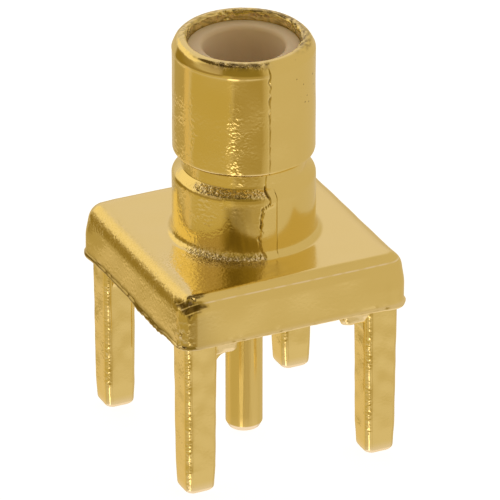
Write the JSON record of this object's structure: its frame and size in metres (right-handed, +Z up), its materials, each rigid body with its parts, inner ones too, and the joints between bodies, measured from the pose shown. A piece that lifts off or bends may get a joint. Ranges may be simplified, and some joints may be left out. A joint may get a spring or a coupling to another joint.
{
  "type": "smb connector",
  "caption": "Straight coaxial board jack: a gold-plated coupling barrel on a square base with solder legs, round a PTFE insulator and a centre contact.",
  "frame": {"origin": "on the barrel's axis, in the plane of the board that the standoff pads sit on", "axes": "+Z up the barrel, towards the rim that the mating plug snaps over; X and Y along the sides of the square base"},
  "size_m": [0.0064, 0.0064, 0.0112],
  "materials": {
    "gold_plated_zinc": "bright gold plate on a die casting",
    "ptfe": "waxy off-white",
    "gold_plated_brass": "gold plate on a turned surface"
  },
  "bodies": {
    "root": {"body": "gold_plated_zinc", "insulator": "ptfe", "centre_contact": "gold_plated_brass"}
  },
  "joints": []
}
